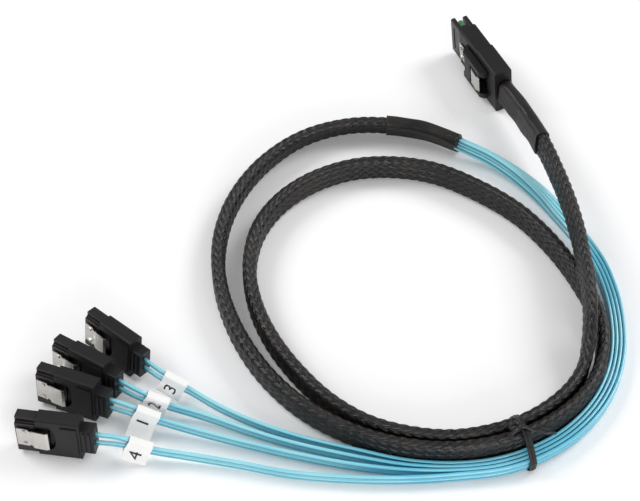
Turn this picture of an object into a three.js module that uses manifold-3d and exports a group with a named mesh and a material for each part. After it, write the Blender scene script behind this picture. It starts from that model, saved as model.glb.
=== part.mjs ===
// Internal breakout cable: one wide latched data plug, a braided trunk of flat twin-conductor wire,
// and four legs that end in small latched data plugs. It lies coiled on a bench, wires on edge.
// Millimetres, +Z up, bench at Z = 0.
import * as THREE from 'three';
import { mergeVertices } from 'three/addons/utils/BufferGeometryUtils.js';
import Module from 'manifold-3d';

const wasm = await Module();
wasm.setup();

// Running clearance between pieces that touch
const GAP = 0.3;
// Middle of the five plugs on the bench, which becomes the part's origin
const BENCH_X = -9.06;
const BENCH_Y = 9.78;

// Braided trunk, standing on edge
const SLEEVE_THICK = 3.6;
const SLEEVE_TALL = 9.0;
const SLEEVE_ROUND = 1.4;
const SLEEVE_STEPS = 74;
// Shrink tubing over both ends of the trunk
const SHRINK_WALL = 0.5;
const PLUG_SHRINK_LENGTH = 30;
const SPLIT_SHRINK_LENGTH = 27;

// One flat twin-conductor wire, and its place in the bundle
const WIRE_THICK = 1.05;
const WIRE_TALL = 1.9;
const WIRE_STEPS = 34;
const LEG_PITCH = 1.25;
const ROW_PITCH = 2.1;
const PLUG_ROW_PITCH = 3.3;

// Small plug: nose, hood and relief along X, width on Z, latch face towards -Y
const NOSE_LENGTH = 6.3;
const NOSE_WIDTH = 13.4;
const NOSE_THICK = 4.2;
const TENON_LENGTH = 3.2;
const TENON_INSET = 0.9;
const HOOD_LENGTH = 12.9;
const HOOD_WIDTH = 14.4;
const HOOD_THICK = 5;
const HOOD_ROUND = 0.7;
const RELIEF_LENGTH = 3.9;
const RELIEF_WIDTH = 9.3;
const RELIEF_THICK = 4.4;
const RELIEF_RIB = 0.35;
const SCOOP_LENGTH = 5.6;
const SCOOP_WIDTH = 9;
const SCOOP_DEPTH = 1.5;
const PAD_START = 7.2;
const PAD_RISE = 0.35;
const PAD_WIDTH = 10.6;
const SLOT_LENGTH = 10.4;
const SLOT_OPEN = 1.5;
const SLOT_KEY = 2.6;
const SLOT_DEPTH = 5.4;
const SLOT_OFFSET = 0.35;
const CONTACT_COUNT = 7;
const CONTACT_PITCH = 1.27;
const CONTACT_WIDTH = 0.5;
const CONTACT_THICK = 0.3;
const CONTACT_FRONT = 0.8;
const LATCH_WIDTH = 6.6;
const LATCH_THICK = 0.3;
const LATCH_ROOT = 0.5;
const LATCH_RISE = 1.15;
const LATCH_OVERHANG = 3.7;
const BARB_RISE = 0.5;
const BARB_LENGTH = 0.9;

// Wide plug: nose plates, board and cover along X, width on Z, latch face towards -Y
const SAS_LENGTH = 34.7;
const SAS_NOSE = 7.2;
const SAS_FRONT_LENGTH = 13.4;
const SAS_FRONT_WIDTH = 16.9;
const SAS_WIDTH = 18.8;
const SAS_THICK = 6.7;
const SAS_ROUND = 0.8;
const NEAR_PLATE_WIDTH = 15.4;
const FAR_PLATE_WIDTH = 14.4;
const PLATE_THICK = 1.75;
const PLATE_ROOT = 2.2;
const FAR_PLATE_BACK = 0.6;
const BOARD_WIDTH = 13.8;
const BOARD_THICK = 1;
const BOARD_BACK = 0.7;
const GROOVE_FRONT = 1.9;
const GROOVE_WIDTH = 0.9;
const GROOVE_LENGTH = 10.2;
const GROOVE_DEPTH = 0.6;
const GUARD_RISE = 2.9;
const GUARD_WIDTH = 12.6;
const GUARD_FRONT = 13.2;
const GUARD_LENGTH = 16.4;
const GUARD_WALL = 2.2;
const GUARD_FOOT = 1.2;
const BRIDGE_FRONT = 3.4;
const BRIDGE_LENGTH = 4.2;
const BRIDGE_THICK = 1.1;
const SAS_LATCH_WIDTH = 6.8;
const SAS_LATCH_THICK = 0.4;

// Labels: a paper wrap round each leg, its two ends stuck together as a flag
const LABEL_LENGTH = 7.4;
const LABEL_PAPER = 0.25;
const FLAG_THICK = 0.5;

// Twist tie round the coil: a flat band, a knot and two twisted tails
const TIE_WIDTH = 2.1;
const TIE_THICK = 0.6;
const KNOT_RADIUS = 2;
const TAIL_RADIUS = 0.55;

const ink = new THREE.MeshStandardMaterial({ color: 0x17171a, roughness: 0.55 });
const hoodPlastic = new THREE.MeshStandardMaterial({ color: 0x1c1c1e, roughness: 0.5 });
const nickel = new THREE.MeshStandardMaterial({ color: 0xcfccc6, roughness: 0.3, metalness: 1 });
const gold = new THREE.MeshStandardMaterial({ color: 0xd9b45a, roughness: 0.3, metalness: 1 });
const laminate = new THREE.MeshStandardMaterial({ color: 0x2f7d54, roughness: 0.45 });
const braid = new THREE.MeshStandardMaterial({ color: 0x1b1b1d, roughness: 0.6 });
const shrink = new THREE.MeshStandardMaterial({ color: 0x201e1c, roughness: 0.45 });
const wireBlue = new THREE.MeshStandardMaterial({ color: 0x5fc3de, roughness: 0.2 });
const paper = new THREE.MeshStandardMaterial({ color: 0xf2f1ee, roughness: 0.85 });

// Solids and booleans

function toSolid(geometry) {
  const bare = geometry.index ? geometry.toNonIndexed() : geometry.clone();
  bare.deleteAttribute('normal');
  bare.deleteAttribute('uv');
  const merged = mergeVertices(bare, 1e-4);
  return new wasm.Manifold(new wasm.Mesh({
    numProp: 3,
    vertProperties: new Float32Array(merged.attributes.position.array),
    triVerts: new Uint32Array(merged.index.array),
  }));
}

function toGeometry(solid) {
  const { vertProperties, triVerts } = solid.getMesh();
  const geometry = new THREE.BufferGeometry();
  geometry.setAttribute('position', new THREE.BufferAttribute(vertProperties, 3));
  geometry.setIndex(new THREE.BufferAttribute(triVerts, 1));
  geometry.computeVertexNormals();
  return geometry;
}

function carve(base, cuts = [], joins = []) {
  let solid = toSolid(base);
  for (const join of joins) solid = solid.add(toSolid(join));
  for (const cut of cuts) solid = solid.subtract(toSolid(cut));
  return toGeometry(solid);
}

// A block between two corners
function block(x0, x1, y0, y1, z0, z1) {
  const geometry = new THREE.BoxGeometry(x1 - x0, y1 - y0, z1 - z0);
  return geometry.translate((x0 + x1) / 2, (y0 + y1) / 2, (z0 + z1) / 2);
}

function roundedOutline(width, height, radius, target = new THREE.Shape()) {
  const x = width / 2;
  const y = height / 2;
  target.moveTo(x, y - radius);
  target.absarc(x - radius, y - radius, radius, 0, Math.PI / 2);
  target.absarc(-x + radius, y - radius, radius, Math.PI / 2, Math.PI);
  target.absarc(-x + radius, -y + radius, radius, Math.PI, 1.5 * Math.PI);
  target.absarc(x - radius, -y + radius, radius, 1.5 * Math.PI, 2 * Math.PI);
  target.closePath();
  return target;
}

// A Y-Z section swept along X from a start
function alongX(section, start, length, curveSegments = 3) {
  const geometry = new THREE.ExtrudeGeometry(section, { depth: length, bevelEnabled: false, curveSegments });
  geometry.applyMatrix4(new THREE.Matrix4().makeBasis(
    new THREE.Vector3(0, 1, 0), new THREE.Vector3(0, 0, 1), new THREE.Vector3(1, 0, 0)));
  return geometry.translate(start, 0, 0);
}

// An X-Y profile given a width across Z, centred
function acrossZ(profile, width, curveSegments = 6) {
  const geometry = new THREE.ExtrudeGeometry(profile, { depth: width, bevelEnabled: false, curveSegments });
  return geometry.translate(0, 0, -width / 2);
}

// An X-Z outline given a thickness from one Y to another
function acrossY(outline, y0, y1, curveSegments = 8) {
  const geometry = new THREE.ExtrudeGeometry(outline, { depth: y1 - y0, bevelEnabled: false, curveSegments });
  geometry.applyMatrix4(new THREE.Matrix4().makeBasis(
    new THREE.Vector3(1, 0, 0), new THREE.Vector3(0, 0, 1), new THREE.Vector3(0, -1, 0)));
  return geometry.translate(0, y1, 0);
}

function polyline(points) {
  return new THREE.Shape(points.map(([x, y]) => new THREE.Vector2(x, y)));
}

// A strip of even thickness that follows a line of X-Y points; outward is towards -Y
function strip(points, thick) {
  const line = points.map(([x, y]) => new THREE.Vector2(x, y));
  const offset = line.map((point, i) => {
    const before = line[Math.max(i - 1, 0)];
    const after = line[Math.min(i + 1, line.length - 1)];
    const along = after.clone().sub(before).normalize();
    return new THREE.Vector2(point.x + along.y * thick, point.y - along.x * thick);
  });
  return new THREE.Shape([...line, ...offset.reverse()]);
}

// Cords

// A smooth route whose section keeps its tall axis upright, apart from a lean given at each point.
// Points are [x, y, z] or [x, y, z, lean in degrees]; a positive lean tips the top to the right of travel.
class Route extends THREE.CatmullRomCurve3 {
  constructor(points) {
    super(points.map(([x, y, z]) => new THREE.Vector3(x, y, z)), false, 'centripetal');
    this.leans = points.map((point) => THREE.MathUtils.degToRad(point[3] ?? 0));
    this.arcLengthDivisions = 600;
  }

  leanAt(u) {
    const place = this.getUtoTmapping(u) * (this.leans.length - 1);
    const i = Math.min(Math.floor(place), this.leans.length - 2);
    return THREE.MathUtils.lerp(this.leans[i], this.leans[i + 1], place - i);
  }

  frameAt(u) {
    const tangent = this.getTangentAt(u);
    const across = new THREE.Vector3(0, 0, 1).cross(tangent).normalize();
    across.applyAxisAngle(tangent, this.leanAt(u));
    return { tangent, across, tall: tangent.clone().cross(across) };
  }

  computeFrenetFrames(steps) {
    const frames = { tangents: [], normals: [], binormals: [] };
    for (let i = 0; i <= steps; i += 1) {
      const { tangent, across, tall } = this.frameAt(i / steps);
      frames.tangents.push(tangent);
      frames.normals.push(across);
      frames.binormals.push(tall);
    }
    return frames;
  }
}

// Part of a route, between two distances from its start
class Stretch extends Route {
  constructor(route, from, to) {
    super([[0, 0, 0], [1, 0, 0]]);
    const whole = route.getLength();
    this.whole = route;
    this.start = from / whole;
    this.span = (to - from) / whole;
  }

  getPoint(t, target = new THREE.Vector3()) {
    return target.copy(this.whole.getPointAt(this.start + this.span * t));
  }

  getPointAt(u, target) {
    return this.getPoint(u, target);
  }

  frameAt(u) {
    return this.whole.frameAt(this.start + this.span * u);
  }
}

function cord(section, route, steps) {
  const options = { steps, bevelEnabled: false, extrudePath: route, curveSegments: 1 };
  return new THREE.ExtrudeGeometry(section, options);
}

// A flat wire's section, its four corners cut
function wireOutline(thick, tall, cut) {
  const x = thick / 2;
  const y = tall / 2;
  return polyline([
    [x, cut - y], [x, y - cut], [x - cut, y], [cut - x, y],
    [-x, y - cut], [-x, cut - y], [cut - x, -y], [x - cut, -y],
  ]);
}

// Route of the trunk from the wide plug, twice round the coil, to the split
const TRUNK_POINTS = [
  [65.7, 66.0, 9.8], [70.2, 55.2, 10.4], [73.4, 46.0, 11.0], [76.3, 36.0, 11.9], [78.6, 24.0, 13.0],
  [80.6, 11.0, 14.0], [82.0, -2.0, 14.5], [82.6, -14.0, 14.5], [82.8, -25.0, 14.5], [82.6, -34.5, 12.6],
  [81.6, -43.0, 8.2], [79.4, -50.9, 5.3], [75.0, -58.2, 4.9], [68.6, -64.7, 5.2], [60.2, -70.6, 5.8],
  [50.0, -74.4, 5.6], [38.0, -76.0, 4.9], [26.0, -74.8, 4.9], [14.2, -71.0, 4.9], [3.0, -63.4, 4.9],
  [-7.6, -51.6, 4.9], [-15.6, -38.8, 4.9], [-20.6, -25.6, 4.9], [-22.6, -11.5, 4.9], [-20.4, 3.4, 4.9],
  [-13.6, 16.0, 4.9], [-2.7, 25.9, 4.9], [11.0, 32.0, 4.9], [25.0, 33.2, 4.9], [39.0, 30.4, 4.9],
  [53.0, 22.6, 4.9], [66.0, 11.6, 4.9], [76.0, -2.6, 4.9], [82.6, -17.0, 4.9], [86.6, -31.0, 4.9],
  [86.2, -44.0, 4.9], [82.4, -55.0, 4.9], [75.4, -64.4, 5.2], [64.0, -73.2, 5.8], [52.0, -78.0, 5.6],
  [38.0, -79.9, 4.9], [24.0, -78.7, 4.9], [10.6, -74.4, 4.9], [-3.6, -66.2, 4.9], [-15.6, -54.2, 4.9],
  [-25.2, -38.4, 4.9], [-31.4, -20.0, 4.9], [-32.8, -2.0, 4.9], [-29.4, 15.6, 4.9, 6], [-20.4, 33.0, 4.9, 14],
  [-6.6, 46.6, 4.9, 22], [9.0, 53.0, 4.9, 25], [24.0, 53.0, 5.4, 25], [37.0, 50.0, 5.6, 25],
  [48.6, 43.9, 5.6, 25],
];

// Route of the middle of the wire bundle from the split, under the trunk, to the front of the coil
const BUNDLE_POINTS = [
  [48.9, 43.7, 5.4, -35], [59.0, 38.2, 4.0, -35], [67.4, 31.0, 3.3, -28], [74.6, 22.6, 2.8, -14],
  [80.6, 13.0, 2.3], [86.0, 3.0, 2.2], [90.4, -8.0, 2.2], [92.6, -20.0, 2.2], [92.9, -32.0, 2.2],
  [91.5, -43.0, 2.2], [87.8, -54.0, 2.3], [81.4, -64.4, 2.6], [72.4, -73.4, 2.9],
  [62.6, -79.4, 3.1], [52.0, -83.1, 2.8],
];

// Each leg's own route from the front of the coil to its plug
const LEG_POINTS = [
  [[40.0, -86.3, 2.3], [26.0, -87.3, 2.2], [10.0, -87.2, 2.2], [-8.0, -85.6, 2.2], [-24.0, -82.4, 2.4],
    [-39.0, -79.9, 3.0], [-49.0, -78.6, 4.0]],
  [[40.0, -85.0, 2.3], [26.0, -84.9, 2.2], [10.0, -83.0, 2.2], [-8.0, -79.2, 2.2], [-22.0, -75.6, 2.4],
    [-36.0, -71.8, 3.0], [-47.6, -68.6, 4.2]],
  [[40.0, -83.8, 2.3], [26.0, -83.3, 2.2], [10.0, -80.3, 2.2], [-8.0, -75.7, 2.2], [-21.0, -71.4, 2.4],
    [-34.0, -66.6, 3.0], [-46.0, -63.2, 4.2]],
  [[40.0, -82.6, 2.3], [26.0, -81.8, 2.2], [10.0, -78.0, 2.2], [-6.0, -73.6, 2.2], [-18.0, -69.2, 2.4],
    [-29.0, -64.0, 3.0], [-39.4, -58.0, 4.4]],
];

// Places of the small plugs: the nose's front on the bench, the way the plug runs back, and its lean
const SMALL_PLUGS = [
  { number: 4, x: -87.3, y: -73.6, heading: -8, lean: -10 },
  { number: 1, x: -83.3, y: -57.0, heading: -20, lean: -11 },
  { number: 2, x: -79.6, y: -46.6, heading: -30, lean: -11 },
  { number: 3, x: -70.7, y: -36.2, heading: -38.5, lean: -11 },
];
const WIDE_PLUG = { x: 51.9, y: 98.4, heading: -67, lean: 8 };

// Small plug

const hoodFront = NOSE_LENGTH;
const hoodBack = NOSE_LENGTH + HOOD_LENGTH;
const plugBack = hoodBack + RELIEF_LENGTH;
const nosePlane = NOSE_THICK / 2;
const hoodPlane = HOOD_THICK / 2;
const tenonThick = NOSE_THICK - 2 * TENON_INSET;
const tenonWidth = NOSE_WIDTH - 2 * TENON_INSET;

// The nose: a keyed L slot in front, a tenon behind that plugs into the hood
function noseGeometry() {
  const front = alongX(roundedOutline(NOSE_THICK, NOSE_WIDTH, 0.5), 0, NOSE_LENGTH - GAP);
  const tenon = block(NOSE_LENGTH - 1, NOSE_LENGTH + TENON_LENGTH, -tenonThick / 2, tenonThick / 2,
    -tenonWidth / 2, tenonWidth / 2);
  const slotLow = SLOT_OFFSET - SLOT_OPEN / 2;
  const slotHigh = SLOT_OFFSET + SLOT_OPEN / 2;
  const slotEnd = SLOT_LENGTH / 2;
  const slot = polyline([
    [slotLow, -slotEnd], [slotHigh, -slotEnd], [slotHigh, slotEnd], [slotHigh - SLOT_KEY, slotEnd],
    [slotHigh - SLOT_KEY, slotEnd - SLOT_OPEN], [slotLow, slotEnd - SLOT_OPEN],
  ]);
  const bevelTop = block(-1, NOSE_LENGTH, -NOSE_THICK, -nosePlane + 0.9, NOSE_WIDTH / 2 - 1.9, NOSE_WIDTH);
  return carve(front, [alongX(slot, -1, SLOT_DEPTH + 1), bevelTop], [tenon]);
}

// Seven contacts on one comb, lying on the slot's long wall
function contactsGeometry() {
  const wall = SLOT_OFFSET + SLOT_OPEN / 2 - 0.15;
  const combBack = SLOT_DEPTH - GAP / 2;
  const combFront = combBack - 0.8;
  const reach = ((CONTACT_COUNT - 1) * CONTACT_PITCH) / 2;
  const bar = block(combFront, combBack, wall - 0.8, wall, -reach - 0.4, reach + 0.4);
  const fingers = [];
  for (let i = 0; i < CONTACT_COUNT; i += 1) {
    const z = i * CONTACT_PITCH - reach;
    fingers.push(block(CONTACT_FRONT, combFront + 0.2, wall - CONTACT_THICK, wall,
      z - CONTACT_WIDTH / 2, z + CONTACT_WIDTH / 2));
  }
  return carve(bar, [], fingers);
}

// The arched scoop that leaves the thumb room to press the latch
function scoopCut(front, length, width, floor, face) {
  const outline = new THREE.Shape();
  outline.moveTo(front - 1, -width / 2);
  outline.lineTo(front + length - width * 0.3, -width / 2);
  outline.quadraticCurveTo(front + length, -width / 2, front + length, 0);
  outline.quadraticCurveTo(front + length, width / 2, front + length - width * 0.3, width / 2);
  outline.lineTo(front - 1, width / 2);
  outline.closePath();
  return acrossY(outline, face - 2, floor, 5);
}

// The hood: rounded block, scoop, raised pad, and a ribbed strain relief behind
function hoodGeometry() {
  const body = alongX(roundedOutline(HOOD_THICK, HOOD_WIDTH, HOOD_ROUND), hoodFront, HOOD_LENGTH);
  const relief = alongX(roundedOutline(RELIEF_THICK, RELIEF_WIDTH, 0.6), hoodBack - 0.5, RELIEF_LENGTH + 0.5);
  const padFront = hoodFront + PAD_START;
  const pad = block(padFront, hoodBack - 0.8, -hoodPlane - PAD_RISE, -hoodPlane + 0.2,
    -PAD_WIDTH / 2, PAD_WIDTH / 2);
  const ribs = [];
  for (let i = 0; i < 2; i += 1) {
    const x = hoodBack + 0.7 + i * 1.5;
    ribs.push(block(x, x + 0.7, -RELIEF_THICK / 2 - RELIEF_RIB, RELIEF_THICK / 2 + RELIEF_RIB,
      -RELIEF_WIDTH / 2 + 0.8, RELIEF_WIDTH / 2 - 0.8));
  }
  const pocket = block(hoodFront - 1, hoodFront + TENON_LENGTH + GAP,
    -tenonThick / 2 - GAP, tenonThick / 2 + GAP,
    -tenonWidth / 2 - GAP, tenonWidth / 2 + GAP);
  const scoop = scoopCut(hoodFront, SCOOP_LENGTH, SCOOP_WIDTH, -hoodPlane + SCOOP_DEPTH, -hoodPlane);
  return carve(body, [pocket, scoop], [relief, pad, ...ribs]);
}

// The latch: a spring leaf rooted at the nose's front, rising to a press area over the scoop
function latchGeometry() {
  const root = -nosePlane - GAP;
  const end = hoodFront + LATCH_OVERHANG;
  const leaf = acrossZ(strip([
    [LATCH_ROOT, root], [LATCH_ROOT + 1.6, root - 0.05], [NOSE_LENGTH - 1.6, root - 0.35],
    [NOSE_LENGTH - 0.4, root - LATCH_RISE * 0.75], [end - 0.7, root - LATCH_RISE],
    [end, root - LATCH_RISE + 0.3],
  ], LATCH_THICK), LATCH_WIDTH);
  const barbs = [-1, 1].map((side) => {
    const z = side * (LATCH_WIDTH / 2 - 0.9);
    const top = root - LATCH_THICK;
    const barb = polyline([
      [LATCH_ROOT + 1.4, top + 0.1], [LATCH_ROOT + 1.4 + BARB_LENGTH, top - BARB_RISE],
      [LATCH_ROOT + 1.9 + BARB_LENGTH, top - BARB_RISE], [LATCH_ROOT + 1.9 + BARB_LENGTH, top + 0.1],
    ]);
    return acrossZ(barb, 0.9).translate(0, 0, z);
  });
  const waist = [-1, 1].map((side) => block(NOSE_LENGTH - 2.2, NOSE_LENGTH - 1.0, root - 3, root + 1,
    side * LATCH_WIDTH / 2 - 0.5, side * LATCH_WIDTH / 2 + 0.5));
  return carve(leaf, waist, barbs);
}

// Wide plug

const sasPlane = SAS_THICK / 2;

// The nose: two plates that hold the board between them, joined at their root
function sasNoseGeometry() {
  const nearPlate = alongX(roundedOutline(PLATE_THICK, NEAR_PLATE_WIDTH, 0.4), 0, SAS_NOSE - GAP)
    .translate(0, -sasPlane + 0.25 + PLATE_THICK / 2, 0);
  const farPlate = alongX(roundedOutline(PLATE_THICK, FAR_PLATE_WIDTH, 0.4), FAR_PLATE_BACK,
    SAS_NOSE - GAP - FAR_PLATE_BACK).translate(0, sasPlane - 0.25 - PLATE_THICK / 2, 0);
  const root = block(SAS_NOSE - GAP - PLATE_ROOT, SAS_NOSE + 2.4, -sasPlane + 1.2, sasPlane - 1.2,
    -BOARD_WIDTH / 2, BOARD_WIDTH / 2);
  const boardSlot = block(-1, SAS_NOSE + 1.2 + GAP, -BOARD_THICK / 2 - GAP / 2, BOARD_THICK / 2 + GAP / 2,
    -BOARD_WIDTH / 2 + 0.5 - GAP, BOARD_WIDTH / 2 - 0.5 + GAP);
  const face = -sasPlane + 0.25;
  const groove = block(GROOVE_FRONT, GROOVE_FRONT + GROOVE_WIDTH, face - 1, face + GROOVE_DEPTH,
    -GROOVE_LENGTH / 2, GROOVE_LENGTH / 2);
  return carve(nearPlate, [boardSlot, groove], [root, farPlate]);
}

// The paddle board: chamfered front corners, wider ahead of its seat
function boardGeometry() {
  const half = BOARD_WIDTH / 2;
  const seat = half - 0.5;
  const shoulder = SAS_NOSE - PLATE_ROOT - 2 * GAP;
  const outline = polyline([
    [BOARD_BACK, -half + 0.8], [BOARD_BACK + 0.8, -half], [shoulder, -half], [shoulder, -seat],
    [SAS_NOSE + 1.2, -seat], [SAS_NOSE + 1.2, seat], [shoulder, seat], [shoulder, half],
    [BOARD_BACK + 0.8, half], [BOARD_BACK, half - 0.8],
  ]);
  return acrossY(outline, -BOARD_THICK / 2, BOARD_THICK / 2);
}

// The cover: rounded block with side steps, and a boot where the trunk leaves it
function sasCoverGeometry() {
  const shoulder = SAS_NOSE + SAS_FRONT_LENGTH;
  const body = alongX(roundedOutline(SAS_THICK, SAS_FRONT_WIDTH, SAS_ROUND), SAS_NOSE, SAS_FRONT_LENGTH + 1);
  const back = alongX(roundedOutline(SAS_THICK, SAS_WIDTH, SAS_ROUND), shoulder, SAS_LENGTH - shoulder);
  const pocket = block(SAS_NOSE - 1, SAS_NOSE + 2.4 + GAP, -sasPlane + 1.2 - GAP, sasPlane - 1.2 + GAP,
    -BOARD_WIDTH / 2 - GAP, BOARD_WIDTH / 2 + GAP);
  const well = block(GUARD_FRONT + GUARD_FOOT, GUARD_FRONT + GUARD_LENGTH - GUARD_FOOT, -sasPlane - 1,
    -sasPlane + 1.3, -SAS_LATCH_WIDTH / 2 - GAP, SAS_LATCH_WIDTH / 2 + GAP);
  return carve(body, [pocket, well], [back]);
}

// The guard: two side walls and a bridge over the latch, moulded on the latch face
function guardGeometry() {
  const top = -sasPlane - GUARD_RISE;
  const under = -sasPlane - GAP;
  const walls = [-1, 1].map((side) => {
    const wall = acrossZ(polyline([
      [GUARD_FRONT, under], [GUARD_FRONT + 2.4, top], [GUARD_FRONT + GUARD_LENGTH - 1.6, top],
      [GUARD_FRONT + GUARD_LENGTH, top + 1.2], [GUARD_FRONT + GUARD_LENGTH, under],
    ]), GUARD_WALL);
    return wall.translate(0, 0, side * (GUARD_WIDTH / 2 - GUARD_WALL / 2));
  });
  const bridgeFront = GUARD_FRONT + BRIDGE_FRONT;
  const bridge = block(bridgeFront, bridgeFront + BRIDGE_LENGTH, top, top + BRIDGE_THICK,
    -GUARD_WIDTH / 2 + 0.2, GUARD_WIDTH / 2 - 0.2);
  return carve(bridge, [], walls);
}

// The wide plug's latch: a bowed spring leaf, rooted ahead of the guard, pressed behind the bridge
function sasLatchGeometry() {
  const root = -sasPlane - GAP;
  const front = SAS_NOSE + 1.2;
  const leaf = acrossZ(strip([
    [front, root], [front + 3, root - 0.15], [GUARD_FRONT + BRIDGE_FRONT + BRIDGE_LENGTH, root - 0.6],
    [GUARD_FRONT + BRIDGE_FRONT + BRIDGE_LENGTH + 1.8, root - 2.6],
    [GUARD_FRONT + GUARD_LENGTH - 3.2, root - 2.9], [GUARD_FRONT + GUARD_LENGTH - 1.8, root - 2.2],
  ], SAS_LATCH_THICK), SAS_LATCH_WIDTH);
  const hooks = [-1, 1].map((side) => acrossZ(polyline([
    [front + 0.8, root - 0.3], [front + 2, root - 1.15], [front + 2.5, root - 1.15],
    [front + 2.5, root - 0.3],
  ]), 1.2).translate(0, 0, side * (SAS_LATCH_WIDTH / 2 - 1)));
  return carve(leaf, [], hooks);
}

// Placement

function plugGroup({ x, y, heading, lean }, width, thick, round) {
  const group = new THREE.Group();
  const tip = THREE.MathUtils.degToRad(lean);
  group.rotation.set(tip, 0, THREE.MathUtils.degToRad(heading), 'ZYX');
  const reach = (width / 2 - round) * Math.cos(tip) + (thick / 2 - round) * Math.abs(Math.sin(tip));
  group.position.set(x, y, reach + round);
  return group;
}

function piece(name, geometry, material) {
  const mesh = new THREE.Mesh(geometry, material);
  mesh.name = name;
  return mesh;
}

// A point in a plug's own axes, given in the bench's axes
function fromPlug(group, x, y, z) {
  group.updateMatrix();
  return new THREE.Vector3(x, y, z).applyMatrix4(group.matrix);
}

const bench = new THREE.Group();
bench.position.set(-BENCH_X, -BENCH_Y, 0);

const widePlug = plugGroup(WIDE_PLUG, SAS_WIDTH, SAS_THICK, SAS_ROUND);
widePlug.add(
  piece('sas_nose_frame', sasNoseGeometry(), ink),
  piece('sas_paddle_board', boardGeometry(), laminate),
  piece('sas_cover', sasCoverGeometry(), hoodPlastic),
  piece('sas_latch_guard', guardGeometry(), hoodPlastic),
  piece('sas_latch_leaf', sasLatchGeometry(), nickel),
);
bench.add(widePlug);

const smallPlugs = SMALL_PLUGS.map((place) => {
  const group = plugGroup(place, HOOD_WIDTH, HOOD_THICK, HOOD_ROUND);
  group.add(
    piece(`sata_nose_${place.number}`, noseGeometry(), ink),
    piece(`sata_hood_${place.number}`, hoodGeometry(), hoodPlastic),
    piece(`sata_contacts_${place.number}`, contactsGeometry(), gold),
    piece(`sata_latch_${place.number}`, latchGeometry(), nickel),
  );
  bench.add(group);
  return group;
});

// Trunk: the braided sleeve and the shrink tubing on its ends

const trunkRoute = new Route(TRUNK_POINTS);
const trunkLength = trunkRoute.getLength();
const sleeveOutline = roundedOutline(SLEEVE_THICK, SLEEVE_TALL, SLEEVE_ROUND);
bench.add(piece('braided_sleeve', cord(sleeveOutline, trunkRoute, SLEEVE_STEPS), braid));

function shrinkTube(name, from, to) {
  const inner = { thick: SLEEVE_THICK + 2 * GAP, tall: SLEEVE_TALL + 2 * GAP };
  const outer = roundedOutline(inner.thick + 2 * SHRINK_WALL, inner.tall + 2 * SHRINK_WALL,
    SLEEVE_ROUND + SHRINK_WALL);
  outer.holes.push(roundedOutline(inner.thick, inner.tall, SLEEVE_ROUND, new THREE.Path()));
  const steps = Math.round((to - from) / 3);
  return piece(name, cord(outer, new Stretch(trunkRoute, from, to), steps), shrink);
}

bench.add(shrinkTube('plug_heat_shrink', 0, PLUG_SHRINK_LENGTH));
bench.add(shrinkTube('split_heat_shrink', trunkLength - SPLIT_SHRINK_LENGTH, trunkLength));

// Legs: two flat wires each, one above the other, that part where they enter the plug

function legRoute(leg, row) {
  const bundle = new Route(BUNDLE_POINTS);
  const across = (1.5 - leg) * LEG_PITCH;
  const up = (row - 0.5) * ROW_PITCH;
  const last = BUNDLE_POINTS.length - 1;
  const common = BUNDLE_POINTS.map(([x, y, z, lean], i) => {
    const tangent = bundle.getTangent(i / last);
    const side = new THREE.Vector3(0, 0, 1).cross(tangent).normalize();
    side.applyAxisAngle(tangent, THREE.MathUtils.degToRad(lean ?? 0));
    const tall = tangent.clone().cross(side);
    const point = new THREE.Vector3(x, y, z).addScaledVector(side, across).addScaledVector(tall, up);
    return [point.x, point.y, point.z, lean ?? 0];
  });
  const own = LEG_POINTS[leg].map(([x, y, z]) => [x, y, z + up]);
  const spread = (row - 0.5) * PLUG_ROW_PITCH;
  const group = smallPlugs[leg];
  const lead = [7, GAP].map((off) => {
    const point = fromPlug(group, plugBack + off, 0, spread * (off > 1 ? 0.9 : 1));
    return [point.x, point.y, point.z];
  });
  return new Route([...common, ...own, ...lead]);
}

const wireSection = wireOutline(WIRE_THICK, WIRE_TALL, 0.35);
const legRoutes = [];
for (let leg = 0; leg < SMALL_PLUGS.length; leg += 1) {
  for (let row = 0; row < 2; row += 1) {
    const route = legRoute(leg, row);
    legRoutes.push(route);
    const name = `leg_${SMALL_PLUGS[leg].number}_wire_${row + 1}`;
    bench.add(piece(name, cord(wireSection, route, WIRE_STEPS), wireBlue));
  }
}

// Labels

// How far each label's middle is from its plug, its flag's reach, and the flag's tip above the bench
const LABELS = [
  { off: 12.4, reach: 2.0, tip: 1.2 },
  { off: 11.2, reach: 5.4, tip: 1.6 },
  { off: 12.4, reach: 2.0, tip: 2.6 },
  { off: 11.0, reach: 2.0, tip: 2.6 },
];

// The middle of a leg's two wires, at a distance from its plug
function legMiddle(leg, off) {
  const [low, high] = [0, 1].map((row) => {
    const route = legRoutes[leg * 2 + row];
    return route.getPointAt(1 - off / route.getLength());
  });
  return { point: low.clone().add(high).multiplyScalar(0.5), halfTall: high.distanceTo(low) / 2 };
}

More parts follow.
